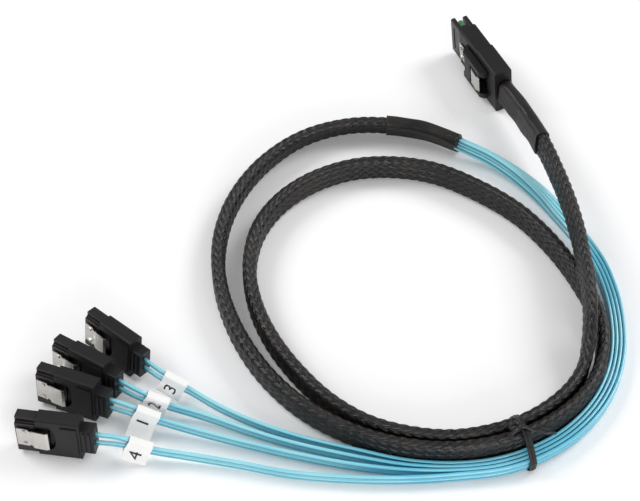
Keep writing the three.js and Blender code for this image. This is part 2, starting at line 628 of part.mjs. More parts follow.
function labelPiece(leg) {
  const { off, reach, tip } = LABELS[leg];
  const middle = legMiddle(leg, off);
  const back = legMiddle(leg, off - LABEL_LENGTH / 2).point;
  const front = legMiddle(leg, off + LABEL_LENGTH / 2).point;
  const halfTall = middle.halfTall + WIRE_TALL / 2 + 0.6;
  const halfThick = WIRE_THICK / 2 + 0.5;
  const wrap = roundedOutline(2 * (halfThick + LABEL_PAPER), 2 * (halfTall + LABEL_PAPER), 0.6);
  wrap.holes.push(roundedOutline(2 * halfThick, 2 * halfTall, 0.4, new THREE.Path()));
  const line = new Route([back, middle.point, front].map((point) => point.toArray()));
  const fall = middle.point.z - tip;
  const foldY = -halfThick - LABEL_PAPER / 2;
  const foldZ = -halfTall * 0.55;
  const flag = alongX(polyline([
    [foldY, foldZ], [foldY - reach, -fall], [foldY - reach, -fall + FLAG_THICK], [foldY, foldZ + FLAG_THICK],
  ]), -LABEL_LENGTH / 2, LABEL_LENGTH);
  const along = front.clone().sub(back).normalize();
  const across = new THREE.Vector3(0, 0, 1).cross(along).normalize();
  const turn = new THREE.Matrix4().makeBasis(along, across, along.clone().cross(across));
  flag.applyMatrix4(turn.setPosition(middle.point));
  return piece(`label_${SMALL_PLUGS[leg].number}`, carve(cord(wrap, line, 3), [], [flag]), paper);
}

for (let leg = 0; leg < SMALL_PLUGS.length; leg += 1) bench.add(labelPiece(leg));

// Twist tie

const TIE_PLACE = { x: 58.2, y: -75.4, heading: 20 };
// The band's inner outline across the coil: [outward from its middle, height]
const TIE_INSIDE = [
  [-7.4, 0.6], [7.7, 0.6], [8.3, 1.2], [8.3, 4.6], [7.6, 5.8], [2.8, 10.2], [1.8, 10.8], [-6.6, 10.8],
  [-7.6, 9.6], [-7.6, 0.8],
];

// A closed outline moved outwards by a distance, corner by corner
function grown(outline, by) {
  return outline.map((corner, i) => {
    const here = new THREE.Vector2(-corner[0], corner[1]);
    const next = outline[(i + 1) % outline.length];
    const last = outline[(i + outline.length - 1) % outline.length];
    const ahead = new THREE.Vector2(-next[0], next[1]).sub(here).normalize();
    const behind = new THREE.Vector2(-last[0], last[1]).sub(here).normalize();
    const normalA = new THREE.Vector2(-ahead.y, ahead.x);
    const normalB = new THREE.Vector2(behind.y, -behind.x);
    const miter = normalA.add(normalB);
    return here.addScaledVector(miter, (2 * by) / miter.lengthSq());
  });
}

function tieGeometry() {
  const outside = new THREE.Shape(grown(TIE_INSIDE, TIE_THICK).reverse());
  outside.holes.push(new THREE.Path(grown(TIE_INSIDE, 0)));
  const band = alongX(outside, -TIE_WIDTH / 2, TIE_WIDTH, 1);
  const knotAt = new THREE.Vector3(0, 1.6, 11.8);
  const knot = new THREE.SphereGeometry(KNOT_RADIUS, 10, 7).translate(knotAt.x, knotAt.y, knotAt.z);
  const tails = [
    [[0, 0, 0], [-6, 1.2, 0.5], [-11, 1.0, 0.2]],
    [[0, 0, 0], [5, -1.2, 0.6], [10.5, -2.6, 0.3]],
  ].map((points) => cord(wireOutline(2 * TAIL_RADIUS, 2 * TAIL_RADIUS, 0.3),
    new Route(points.map(([x, y, z]) => [x + knotAt.x, y + knotAt.y, z + knotAt.z])), 6));
  return carve(band, [], [knot, ...tails]);
}

const tie = piece('twist_tie', tieGeometry(), ink);
tie.position.set(TIE_PLACE.x, TIE_PLACE.y, 0);
tie.rotation.z = THREE.MathUtils.degToRad(TIE_PLACE.heading);
bench.add(tie);

const part = new THREE.Group();
part.name = 'mini_sas_breakout_cable';
part.add(bench);
export default part;
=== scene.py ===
# Coiled internal breakout cable: one wide latched plug, a braided trunk twice round, and four legs of
# flat blue wire that end in small latched plugs. All lengths in metres, on a white table at height 0.
from copy import copy
from math import atan, cos, pi, radians, sin

import bpy
import numpy as np
from mathutils import Matrix, Vector


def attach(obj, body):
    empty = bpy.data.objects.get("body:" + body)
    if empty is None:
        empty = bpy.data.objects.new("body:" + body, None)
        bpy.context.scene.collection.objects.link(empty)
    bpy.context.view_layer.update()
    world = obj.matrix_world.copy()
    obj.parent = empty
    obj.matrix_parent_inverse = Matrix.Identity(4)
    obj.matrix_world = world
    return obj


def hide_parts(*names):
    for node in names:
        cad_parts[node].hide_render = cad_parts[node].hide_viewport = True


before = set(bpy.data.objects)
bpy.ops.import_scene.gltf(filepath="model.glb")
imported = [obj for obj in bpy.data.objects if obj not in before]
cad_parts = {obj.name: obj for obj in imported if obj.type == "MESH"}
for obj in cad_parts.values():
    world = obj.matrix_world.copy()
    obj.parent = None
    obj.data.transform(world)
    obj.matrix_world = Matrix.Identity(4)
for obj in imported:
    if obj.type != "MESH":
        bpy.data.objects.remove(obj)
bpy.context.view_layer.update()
MM = 0.001


# Table, camera and lamps
# A white table under three soft boxes: a large one over each side, and a low one in front that lights the
# labels and the near wires. A white room round them fills the shadows.

scene = bpy.context.scene
scene.view_settings.view_transform = "Standard"


def linear(tint):
    """A colour written as 0xRRGGBB, as the renderer wants it"""
    parts = [((tint >> shift) & 255) / 255 for shift in (16, 8, 0)]
    return tuple(p / 12.92 if p <= 0.04045 else ((p + 0.055) / 1.055) ** 2.4 for p in parts) + (1.0,)


class Nodes:
    """A node tree that is being built: add() makes one node and feeds its sockets"""

    def __init__(self, tree):
        self.tree = tree

    def add(self, kind, feeds=None, **settings):
        node = self.tree.nodes.new(kind)
        for key, value in settings.items():
            setattr(node, key, value)
        for key, value in (feeds or {}).items():
            socket = node.inputs[key] if isinstance(key, int) else next(
                s for s in node.inputs if s.name == key and s.enabled)
            if isinstance(value, bpy.types.NodeSocket):
                self.tree.links.new(value, socket)
            else:
                socket.default_value = value
        outputs = {s.name: s for s in node.outputs if s.enabled}
        return next(iter(outputs.values())) if len(outputs) == 1 else outputs

    def math(self, how, a, b=0.0, c=0.0):
        return self.add("ShaderNodeMath", {0: a, 1: b, 2: c}, operation=how)


class Finish(Nodes):
    """A material with a Principled shader; its plain values are set on the shader's own sockets"""

    def __init__(self, name, tint, roughness, **values):
        self.material = bpy.data.materials.new(name)
        self.material.use_nodes = True
        super().__init__(self.material.node_tree)
        self.shader = self.tree.nodes["Principled BSDF"]
        self.set("Base Color", linear(tint))
        self.set("Roughness", roughness)
        for label, value in values.items():
            self.set(label.replace("_", " ").title().replace("Ior", "IOR"), value)
        self.place = self.tree.nodes.new("ShaderNodeTexCoord").outputs

    def set(self, label, value):
        if isinstance(value, bpy.types.NodeSocket):
            self.tree.links.new(value, self.shader.inputs[label])
        else:
            self.shader.inputs[label].default_value = value

    def noise(self, scale, detail=3.0):
        feeds = {"Vector": self.place["Object"], "Scale": scale, "Detail": detail}
        return self.add("ShaderNodeTexNoise", feeds)["Fac"]

    def blend(self, share, tint_a, tint_b):
        """Two colours mixed; each is a socket or 0xRRGGBB"""
        node = self.tree.nodes.new("ShaderNodeMix")
        node.data_type = "RGBA"
        for socket, value in ((0, share), (6, tint_a), (7, tint_b)):
            if isinstance(value, bpy.types.NodeSocket):
                self.tree.links.new(value, node.inputs[socket])
            else:
                node.inputs[socket].default_value = linear(value) if socket else value
        return node.outputs[2]

    def span(self, value, low, high, to_low, to_high):
        feeds = {"Value": value, "From Min": low, "From Max": high, "To Min": to_low, "To Max": to_high}
        return self.add("ShaderNodeMapRange", feeds)

    def bump(self, height, distance, strength=1.0):
        feeds = {"Height": height, "Distance": distance, "Strength": strength}
        self.set("Normal", self.add("ShaderNodeBump", feeds))


def new_piece(name, points, faces, finish=None):
    mesh = bpy.data.meshes.new(name)
    mesh.from_pydata([tuple(p) for p in points], [], [tuple(int(i) for i in f) for f in faces])
    obj = bpy.data.objects.new(name, mesh)
    bpy.context.collection.objects.link(obj)
    if finish:
        mesh.materials.append(finish.material)
    return obj


TABLE_HALF = 3.0
TABLE_DROP = 0.0001
TABLE_GLOW = 0.1
table_white = Finish("table_white", 0xFCFCFD, 0.6)
table_corners = [(x * TABLE_HALF, y * TABLE_HALF, -TABLE_DROP)
                 for x, y in ((-1, -1), (1, -1), (1, 1), (-1, 1))]
table = new_piece("table", table_corners, [(0, 1, 2, 3)], table_white)
glow = table_white.add("ShaderNodeEmission", {"Strength": table_white.math(
    "MULTIPLY", table_white.add("ShaderNodeLightPath")["Is Camera Ray"], TABLE_GLOW)})
lit = table_white.add("ShaderNodeAddShader", {0: table_white.shader.outputs[0], 1: glow})
table_white.tree.links.new(lit, table_white.tree.nodes["Material Output"].inputs["Surface"])

AIM = Vector((9.06, -9.78, 0)) * MM
CAMERA_FROM_AIM = (0, -276.9, 330)
CAMERA_TILT = 40
SENSOR_WIDTH = 36
LENS = 73.46
camera_data = bpy.data.cameras.new("camera")
camera_data.sensor_width = SENSOR_WIDTH
camera_data.lens = LENS
camera = bpy.data.objects.new("camera", camera_data)
camera.location = AIM + Vector(CAMERA_FROM_AIM) * MM
camera.rotation_euler = (radians(CAMERA_TILT), 0, 0)
bpy.context.collection.objects.link(camera)
scene.camera = camera


def soft_box(name, place, size, power):
    """A square area lamp that faces the camera's aim"""
    lamp = bpy.data.lights.new(name, "AREA")
    lamp.size = size
    lamp.energy = power
    obj = bpy.data.objects.new(name, lamp)
    obj.location = place
    obj.rotation_euler = (Vector(place) - AIM).to_track_quat("Z", "Y").to_euler()
    bpy.context.collection.objects.link(obj)


soft_box("soft_box_left", (-0.7, 0.3, 0.75), 0.5, 4.6)
soft_box("soft_box_right", (0.75, 0.4, 0.75), 0.5, 4.6)
soft_box("soft_box_front", (0.25, -0.85, 0.3), 0.45, 3.2)
ROOM_STRENGTH = 0.4
world = bpy.data.worlds.new("room")
scene.world = world
world.use_nodes = True
room = world.node_tree.nodes["Background"].inputs
room["Color"].default_value = (1, 1, 1, 1)
room["Strength"].default_value = ROOM_STRENGTH


# Braided trunk
# Eight flat wires inside an expandable polyester sleeve, lying on edge and wound twice round. The sleeve
# is woven of flat black yarns that run both ways round it, each over two and under two.

# Where the frame's origin stands on the bench, on which the routes and the plugs are placed
BENCH = np.array([-9.06, 9.78, 0.0])
# The trunk's route on the bench, in millimetres: [x, y, height, lean]
TRUNK_POINTS = [
    [65.7, 66.0, 9.8], [70.2, 55.2, 10.4], [73.4, 46.0, 11.0], [76.3, 36.0, 11.9], [78.6, 24.0, 13.0],
    [80.6, 11.0, 14.0], [82.0, -2.0, 14.5], [82.6, -14.0, 14.5], [82.8, -25.0, 14.5], [82.6, -34.5, 12.6],
    [81.6, -43.0, 8.2], [79.4, -50.9, 5.3], [75.0, -58.2, 4.9], [68.6, -64.7, 5.2], [60.2, -70.6, 5.8],
    [50.0, -74.4, 5.6], [38.0, -76.0, 4.9], [26.0, -74.8, 4.9], [14.2, -71.0, 4.9], [3.0, -63.4, 4.9],
    [-7.6, -51.6, 4.9], [-15.6, -38.8, 4.9], [-20.6, -25.6, 4.9], [-22.6, -11.5, 4.9], [-20.4, 3.4, 4.9],
    [-13.6, 16.0, 4.9], [-2.7, 25.9, 4.9], [11.0, 32.0, 4.9], [25.0, 33.2, 4.9], [39.0, 30.4, 4.9],
    [53.0, 22.6, 4.9], [66.0, 11.6, 4.9], [76.0, -2.6, 4.9], [82.6, -17.0, 4.9], [86.6, -31.0, 4.9],
    [86.2, -44.0, 4.9], [82.4, -55.0, 4.9], [75.4, -64.4, 5.2], [64.0, -73.2, 5.8], [52.0, -78.0, 5.6],
    [38.0, -79.9, 4.9], [24.0, -78.7, 4.9], [10.6, -74.4, 4.9], [-3.6, -66.2, 4.9], [-15.6, -54.2, 4.9],
    [-25.2, -38.4, 4.9], [-31.4, -20.0, 4.9], [-32.8, -2.0, 4.9], [-29.4, 15.6, 4.9, 6],
    [-20.4, 33.0, 4.9, 14], [-6.6, 46.6, 4.9, 22], [9.0, 53.0, 4.9, 25], [24.0, 53.0, 5.4, 25],
    [37.0, 50.0, 5.6, 25], [48.6, 43.9, 5.6, 25],
]
SLEEVE_THICK = 3.6
SLEEVE_TALL = 9.0
CORE_SHRINK = 0.35
CORE_ROUND = 1.2
# Samples on each stretch of a line, and how far each side of a station its direction is taken
FINE = 40
AIM_SPAN = 0.4


class Line:
    """A centripetal Catmull-Rom line through points [x, y, z, lean], sampled evenly; the section that follows
    it stands on edge, tipped by the lean, which is positive to the right of travel"""

    def __init__(self, points, step=0.8):
        knots = np.array([p[:3] for p in points], float)
        leans = np.array([p[3] if len(p) > 3 else 0.0 for p in points], float)
        wide = np.vstack([2 * knots[0] - knots[1], knots, 2 * knots[-1] - knots[-2]])
        places, tips = [], []
        for i in range(len(knots) - 1):
            a, b, c, d = wide[i:i + 4]
            ab, bc, cd = (np.linalg.norm(q - p) ** 0.5 for p, q in ((a, b), (b, c), (c, d)))
            start = ((b - a) / ab - (c - a) / (ab + bc) + (c - b) / bc) * bc
            stop = ((c - b) / bc - (d - b) / (bc + cd) + (d - c) / cd) * bc
            w = np.arange(FINE)[:, None] / FINE
            places.append(b + start * w + (3 * (c - b) - 2 * start - stop) * w ** 2
                          + (2 * (b - c) + start + stop) * w ** 3)
            tips.append(leans[i] + (leans[i + 1] - leans[i]) * w[:, 0])
        self.fine = np.vstack(places + [knots[-1:]])
        self.tips = np.append(np.concatenate(tips), leans[-1])
        self.far = np.concatenate([[0], np.cumsum(np.linalg.norm(np.diff(self.fine, axis=0), axis=1))])
        self.length = self.far[-1]
        self.sample(0, self.length, step)

    def sample(self, start, stop, step):
        """Stations from one distance to another; beyond either end the line runs on straight"""
        count = max(2, int(round((stop - start) / step)) + 1)
        self.at = np.linspace(start, stop, count)
        inside = np.clip(self.at, 0, self.length)
        self.place = np.column_stack([np.interp(inside, self.far, self.fine[:, k]) for k in range(3)])
        beyond, before = (np.clip(inside + span, 0, self.length) for span in (AIM_SPAN, -AIM_SPAN))
        ahead = np.column_stack([np.interp(beyond, self.far, self.fine[:, k])
                                 - np.interp(before, self.far, self.fine[:, k]) for k in range(3)])
        self.ahead = ahead / np.linalg.norm(ahead, axis=1)[:, None]
        self.place += self.ahead * (self.at - inside)[:, None]
        side = np.cross([0, 0, 1], self.ahead)
        side /= np.linalg.norm(side, axis=1)[:, None]
        tip = np.radians(np.interp(inside, self.far, self.tips))[:, None]
        self.across = side * np.cos(tip) + np.cross(self.ahead, side) * np.sin(tip)
        self.tall = np.cross(self.ahead, self.across)
        return self

    def world(self):
        return (self.place - BENCH) * MM


def rounded(thick, tall, radius, per_corner=6):
    """A rounded rectangle, counter-clockwise, in millimetres"""
    corners = [(1, -1, -90), (1, 1, 0), (-1, 1, 90), (-1, -1, 180)]
    turn = np.radians(np.linspace(0, 90, per_corner))
    points = [np.column_stack([sx * (thick / 2 - radius) + radius * np.cos(turn + radians(base)),
                               sy * (tall / 2 - radius) + radius * np.sin(turn + radians(base))])
              for sx, sy, base in corners]
    return np.vstack(points)


# A swept piece's UV map runs once round it, and this far along it for each millimetre
UV_PER_MM = 0.01


def loft_faces(rings, sides, base=0):
    """Faces of a tube of rings, with both its ends closed"""
    walls = [(base + i * sides + j, base + i * sides + (j + 1) % sides,
              base + (i + 1) * sides + (j + 1) % sides, base + (i + 1) * sides + j)
             for i in range(rings - 1) for j in range(sides)]
    last = base + (rings - 1) * sides
    return walls + [tuple(range(base, base + sides))[::-1], tuple(range(last, last + sides))]


def sweep(name, line, outlines, finish):
    """A closed body along a line: one outline for each station, or one for all of them"""
    outlines = np.broadcast_to(outlines, (len(line.place),) + np.shape(outlines)[-2:])
    rings, sides = outlines.shape[:2]
    points = ((line.place - BENCH)[:, None] + line.across[:, None] * outlines[..., :1]
              + line.tall[:, None] * outlines[..., 1:]) * MM
    faces = loft_faces(rings, sides)
    obj = new_piece(name, points.reshape(-1, 3), faces, finish)
    obj.data.uv_layers.new(name="UVMap")
    around = np.tile(np.append(np.arange(sides), sides) / sides, (rings, 1))
    along = np.tile(line.at[:, None], (1, sides + 1)) * UV_PER_MM
    quad = np.array([(0, 0), (0, 1), (1, 1), (1, 0)])
    uv = []
    for i in range(rings - 1):
        for j in range(sides):
            uv += [(around[i + a, j + b], along[i + a, j + b]) for a, b in quad]
    uv += [(0.5, 0.0)] * (2 * sides)
    obj.data.uv_layers[0].data.foreach_set("uv", np.array(uv, np.float32).ravel())
    obj.data.polygons.foreach_set("use_smooth", [True] * (len(faces) - 2) + [False, False])
    return obj


def thread(name, points, closed=False, **fields):
    """A line of bare edges for a node tree to follow, with a value or a vector at each point"""
    obj = new_piece(name, [], [])
    count = len(points)
    edges = [(i, i + 1) for i in range(count - 1)] + ([(count - 1, 0)] if closed else [])
    obj.data.from_pydata([tuple(p) for p in points], edges, [])
    for label, values in fields.items():
        kind = "FLOAT_VECTOR" if np.ndim(values) == 2 else "FLOAT"
        field = obj.data.attributes.new(label, kind, "POINT")
        field.data.foreach_set("vector" if kind == "FLOAT_VECTOR" else "value",
                               np.asarray(values, np.float32).ravel())
    obj.hide_render = True
    return obj


class Recipe(Nodes):
    """A Geometry Nodes tree with named inputs, which ends in Set Material"""

    def __init__(self, name, inputs):
        super().__init__(bpy.data.node_groups.new(name, "GeometryNodeTree"))
        self.tree.interface.new_socket("Mesh", in_out="OUTPUT", socket_type="NodeSocketGeometry")
        for label, kind in inputs.items():
            self.tree.interface.new_socket(label, in_out="INPUT", socket_type="NodeSocket" + kind)
        self.inputs = self.tree.nodes.new("NodeGroupInput").outputs

    def vector(self, how, a, b=(0, 0, 0), scale=1.0):
        """The vector that a Vector Math node gives"""
        node = self.tree.nodes.new("ShaderNodeVectorMath")
        node.operation = how
        for socket, value in ((0, a), (1, b), (3, scale)):
            if isinstance(value, bpy.types.NodeSocket):
                self.tree.links.new(value, node.inputs[socket])
            else:
                node.inputs[socket].default_value = value
        return node.outputs[0]

    def field(self, label, kind="FLOAT"):
        return self.add("GeometryNodeInputNamedAttribute", {"Name": label}, data_type=kind)["Attribute"]

    def close(self, mesh):
        mesh = self.add("GeometryNodeSetShadeSmooth", {"Geometry": mesh})
        mesh = self.add("GeometryNodeRealizeInstances", {"Geometry": mesh})
        mesh = self.add("GeometryNodeSetMaterial", {"Geometry": mesh, "Material": self.inputs["Material"]})
        self.add("NodeGroupOutput", {0: mesh})

    def cook(self, name, finish, **values):
        """A plain mesh made by the tree, with these inputs"""
        obj = new_piece(name, [], [], finish)
        modifier = obj.modifiers.new("recipe", "NODES")
        modifier.node_group = self.tree
        for socket in self.tree.interface.items_tree:
            if socket.in_out == "INPUT":
                key = socket.name.replace(" ", "_").lower()
                modifier[socket.identifier] = finish.material if key == "material" else values[key]
        depsgraph = bpy.context.evaluated_depsgraph_get()
        mesh = bpy.data.meshes.new_from_object(obj.evaluated_get(depsgraph), preserve_all_data_layers=True,
                                               depsgraph=depsgraph)
        obj.modifiers.clear()
        obj.data = mesh
        return obj


trunk = Line(TRUNK_POINTS)
trunk_length = trunk.length
# The sleeve is fatter on the left of the coil: from this place in x, over this distance, by this share
SWELL_FROM, SWELL_OVER, SWELL_BY = 5, 25, 0.2
left_of_coil = np.clip((SWELL_FROM - trunk.place[:, 0]) / SWELL_OVER, 0, 1)
swell = 1 + SWELL_BY * left_of_coil
core_outline = rounded(SLEEVE_THICK - 2 * CORE_SHRINK, SLEEVE_TALL - 2 * CORE_SHRINK, CORE_ROUND, 5)
core_black = Finish("core_black", 0x050506, 0.8)
core_outlines = core_outline[None] * np.dstack([swell, np.ones_like(swell)]).reshape(-1, 1, 2)
sleeve = sweep("sleeve_core", trunk, core_outlines, core_black)

yarn = Finish("sleeve_yarn", 0x0D0D0E, 0.3, specular_ior_level=0.6)
patches = yarn.noise(90.0, 2.0)
yarn.set("Base Color", yarn.blend(yarn.span(patches, 0.42, 0.62, 0.0, 1.0), 0x0B0B0D, 0x1E1916))
yarn.set("Roughness", yarn.span(yarn.noise(260.0, 2.0), 0.35, 0.65, 0.26, 0.44))
filament = yarn.add("ShaderNodeSeparateXYZ", {"Vector": yarn.place["UV"]})["X"]
yarn.bump(yarn.math("ABSOLUTE", yarn.math("SINE", yarn.math("MULTIPLY", filament, 3 * pi))), 0.00006)

braid = Recipe("sleeve_braid", {
    "Route": "Object", "Outline": "Object", "Yarns": "Int", "Turns": "Float", "Hand": "Float",
    "Slant": "Float", "Width": "Float", "Girth": "Float", "Length": "Float", "Lift": "Float",
    "Stand off": "Float", "Steps": "Int", "Material": "Material"})
given = braid.inputs
ribbon = braid.add("GeometryNodeMeshGrid", {"Size X": 1.0, "Size Y": 1.0, "Vertices X": 4,
                                            "Vertices Y": given["Steps"]})["Mesh"]
starts = braid.add("GeometryNodePoints", {"Count": given["Yarns"]})
starts = braid.add("GeometryNodeStoreNamedAttribute",
                   {"Geometry": starts, "Name": "yarn", "Value": braid.add("GeometryNodeInputIndex")},
                   data_type="FLOAT")
yarns = braid.add("GeometryNodeRealizeInstances", {"Geometry": braid.add(
    "GeometryNodeInstanceOnPoints", {"Points": starts, "Instance": ribbon})})
grid = braid.add("ShaderNodeSeparateXYZ", {"Vector": braid.add("GeometryNodeInputPosition")})
run = braid.math("ADD", grid["Y"], 0.5)
middle = braid.math("ADD", braid.math("DIVIDE", braid.field("yarn"), given["Yarns"]),
                    braid.math("MULTIPLY", braid.math("MULTIPLY", given["Hand"], given["Turns"]), run))
over = braid.math("MULTIPLY", grid["X"], given["Width"])
round_by = braid.math("MULTIPLY", over,
                      braid.math("DIVIDE", braid.math("COSINE", given["Slant"]), given["Girth"]))
back_by = braid.math("MULTIPLY", braid.math("MULTIPLY", over, given["Hand"]),
                     braid.math("DIVIDE", braid.math("SINE", given["Slant"]), given["Length"]))
turn = braid.math("FRACT", braid.math("ADD", braid.math("ADD", middle, round_by), 100.0))
along = braid.add("ShaderNodeClamp", {"Value": braid.math("SUBTRACT", run, back_by)})
wave = braid.math("SINE", braid.math("MULTIPLY", middle, braid.math("MULTIPLY", given["Yarns"], pi)))
# A yarn's edges lie lower than its middle, by this many metres for a width of 1
YARN_CROWN = -0.0008
crown = braid.math("MULTIPLY", braid.math("MULTIPLY", grid["X"], grid["X"]), YARN_CROWN)
height = braid.math("ADD", braid.math("ADD", given["Stand off"], crown),
                    braid.math("MULTIPLY", braid.math("MULTIPLY", given["Lift"], given["Hand"]), wave))


def curve_of(socket):
    info = braid.add("GeometryNodeObjectInfo", {"Object": socket})
    return braid.add("GeometryNodeMeshToCurve", {"Mesh": info["Geometry"]})


def along_route(value, kind):
    feeds = {"Curves": route_curve, "Value": value, "Factor": along}
    return braid.add("GeometryNodeSampleCurve", feeds, mode="FACTOR", data_type=kind)


route_curve = curve_of(given["Route"])
outline_curve = curve_of(given["Outline"])
ring = braid.add("GeometryNodeSampleCurve", {"Curves": outline_curve, "Factor": turn}, mode="FACTOR")
edge = braid.add("ShaderNodeSeparateXYZ", {"Vector": ring["Position"]})
facing = braid.add("ShaderNodeSeparateXYZ", {"Vector": ring["Tangent"]})
station = along_route(braid.field("across", "FLOAT_VECTOR"), "FLOAT_VECTOR")
upright = along_route(braid.field("tall", "FLOAT_VECTOR"), "FLOAT_VECTOR")["Value"]
fat = along_route(braid.field("swell"), "FLOAT")["Value"]
sideways = braid.math("ADD", braid.math("MULTIPLY", edge["X"], fat),
                      braid.math("MULTIPLY", facing["Y"], height))
upwards = braid.math("SUBTRACT", edge["Y"], braid.math("MULTIPLY", facing["X"], height))
spot = braid.vector("ADD", station["Position"], braid.vector(
    "ADD", braid.vector("SCALE", station["Value"], scale=sideways),
    braid.vector("SCALE", upright, scale=upwards)))
yarns = braid.add("GeometryNodeStoreNamedAttribute", {
    "Geometry": yarns, "Name": "UVMap", "Value": braid.add("ShaderNodeCombineXYZ", {
        "X": braid.math("ADD", grid["X"], 0.5), "Y": braid.math("MULTIPLY", run, 100.0)})},
    data_type="FLOAT2", domain="CORNER")
yarns = braid.add("GeometryNodeSetPosition", {"Geometry": yarns, "Position": spot})
braid.close(yarns)

YARNS = 16
YARN_WIDTH = 1.12
YARN_TURNS = 14.0
YARN_LIFT = 0.18
YARN_STAND_OFF = 0.34
YARN_STEPS = 740
girth = np.linalg.norm(np.roll(core_outline, -1, 0) - core_outline, axis=1).sum()
route_thread = thread("route_thread", trunk.world(), across=trunk.across, tall=trunk.tall, swell=swell)
outline_points = np.column_stack([core_outline * MM, np.zeros(len(core_outline))])
outline_thread = thread("outline_thread", outline_points, closed=True)
lays = {}
for lay, hand in (("left", -1.0), ("right", 1.0)):
    lays[lay] = braid.cook(
        f"sleeve_yarns_{lay}", yarn, route=route_thread, outline=outline_thread, yarns=YARNS,
        turns=YARN_TURNS, hand=hand, slant=atan(girth * YARN_TURNS / trunk_length), width=YARN_WIDTH * MM,
        girth=girth * MM, length=trunk_length * MM, lift=YARN_LIFT * MM, stand_off=YARN_STAND_OFF * MM,
        steps=YARN_STEPS)
    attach(lays[lay], "root")
for helper in (route_thread, outline_thread):
    bpy.data.objects.remove(helper)
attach(sleeve, "root")
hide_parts("braided_sleeve")


# Heat-shrink tubing
# Black polyolefin tube shrunk over both ends of the sleeve. It takes the sleeve's flat shape, with
# shallow dents, and its cut ends stand a little proud.

PLUG_TUBE = 30.0
SPLIT_TUBE = 27.0
# The gap behind the wide plug's cover
PLUG_GAP = 0.2
# How much thicker and taller than the sleeve a tube is, and the radius of its corners
TUBE_THICKER, TUBE_TALLER, TUBE_ROUND = 1.1, 0.8, 1.8
TUBE_STEP = 0.5
DENTS = 5
DENT_SIZES = (0.03, 0.09)
LIP = 0.12
# How much of the dents and the lip shows in the section's thickness, and in its height
DENT_SHARES = (0.22, 0.1)
TAPER_FROM = 0.35
tube_black = Finish("heat_shrink", 0x141210, 0.42)
tube_mottle = tube_black.span(tube_black.noise(70.0, 2.0), 0.4, 0.65, 0.0, 1.0)
tube_black.set("Base Color", tube_black.blend(tube_mottle, 0x0E0E10, 0x211A14))
tube_black.set("Roughness", tube_black.span(tube_black.noise(150.0), 0.3, 0.7, 0.36, 0.52))
tube_black.bump(tube_black.noise(420.0, 4.0), 0.0004, 0.5)


def tube(name, start, stop, taper, seed, node):
    """A shrunk tube over part of the trunk; taper gives its height at its far end, as a share"""
    line = Line(TRUNK_POINTS).sample(start, stop, TUBE_STEP)
    share = (line.at - start) / (stop - start)
    base = rounded(SLEEVE_THICK + TUBE_THICKER, SLEEVE_TALL + TUBE_TALLER, TUBE_ROUND, 9)
    rng = np.random.default_rng(seed)
    turn = np.arange(len(base)) / len(base) * 2 * pi
    dents = np.zeros((len(share), len(base)))
    for dent in range(DENTS):
        waves, phase, size = rng.integers(2, 7), rng.uniform(0, 2 * pi), rng.uniform(*DENT_SIZES)
        dents += size * np.sin(share[:, None] * waves * pi + phase + turn * rng.integers(1, 4))
    lip = LIP * (np.exp(-share * 30) + np.exp(-(1 - share) * 30))
    scale = 1 + (dents + lip[:, None])[..., None] * np.array(DENT_SHARES)
    height = 1 - (1 - taper) * np.clip((share - TAPER_FROM) / (1 - TAPER_FROM), 0, 1) ** 1.4
    outlines = base[None] * scale * np.dstack([np.ones_like(height), height]).reshape(-1, 1, 2)
    obj = sweep(name, line, outlines, tube_black)
    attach(obj, "root")
    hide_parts(node)
    return obj


plug_tube = tube("plug_tube", PLUG_GAP, PLUG_TUBE, 0.96, 4, "plug_heat_shrink")
split_tube = tube("split_tube", trunk_length - SPLIT_TUBE, trunk_length, 0.84, 9, "split_heat_shrink")


# Legs
# Each leg is two flat twin wires, one above the other: two conductors side by side in a clear blue
# jacket, waisted between them. All eight leave the split tube as one bundle.

WIRE_THICK = 1.05
WIRE_TALL = 1.9
LEG_PITCH = 1.25
ROW_PITCH = 2.1
PLUG_ROW_PITCH = 3.3
# How far a wire runs inside the split tube, how far past its line's end in the plug, and its stations' step
INSIDE_TUBE, INSIDE_PLUG, WIRE_STEP = 1.2, 0.5, 1.6
# The bundle's route on the bench as far as the twist tie, then each leg's own route to its plug
BUNDLE_POINTS = [
    [48.9, 43.7, 5.4, -35], [59.0, 38.2, 4.0, -35], [67.4, 31.0, 3.3, -28], [74.6, 22.6, 2.8, -14],
    [80.6, 13.0, 2.3], [86.0, 3.0, 2.2], [90.4, -8.0, 2.2], [92.6, -20.0, 2.2], [92.9, -32.0, 2.2],
    [91.5, -43.0, 2.2], [87.8, -54.0, 2.3], [81.4, -64.4, 2.6], [72.4, -73.4, 2.9],
    [62.6, -79.4, 3.1], [52.0, -83.1, 2.8],
]
LEG_POINTS = [
    [[40.0, -86.3, 2.3], [26.0, -87.3, 2.2], [10.0, -87.2, 2.2], [-8.0, -85.6, 2.2], [-24.0, -82.4, 2.4],
        [-39.0, -79.9, 3.0], [-49.0, -78.6, 4.0]],
    [[40.0, -85.0, 2.3], [26.0, -84.9, 2.2], [10.0, -83.0, 2.2], [-8.0, -79.2, 2.2], [-22.0, -75.6, 2.4],
        [-36.0, -71.8, 3.0], [-47.6, -68.6, 4.2]],
    [[40.0, -83.8, 2.3], [26.0, -83.3, 2.2], [10.0, -80.3, 2.2], [-8.0, -75.7, 2.2], [-21.0, -71.4, 2.4],
        [-34.0, -66.6, 3.0], [-46.0, -63.2, 4.2]],
    [[40.0, -82.6, 2.3], [26.0, -81.8, 2.2], [10.0, -78.0, 2.2], [-6.0, -73.6, 2.2], [-18.0, -69.2, 2.4],
        [-29.0, -64.0, 3.0], [-39.4, -58.0, 4.4]],
]
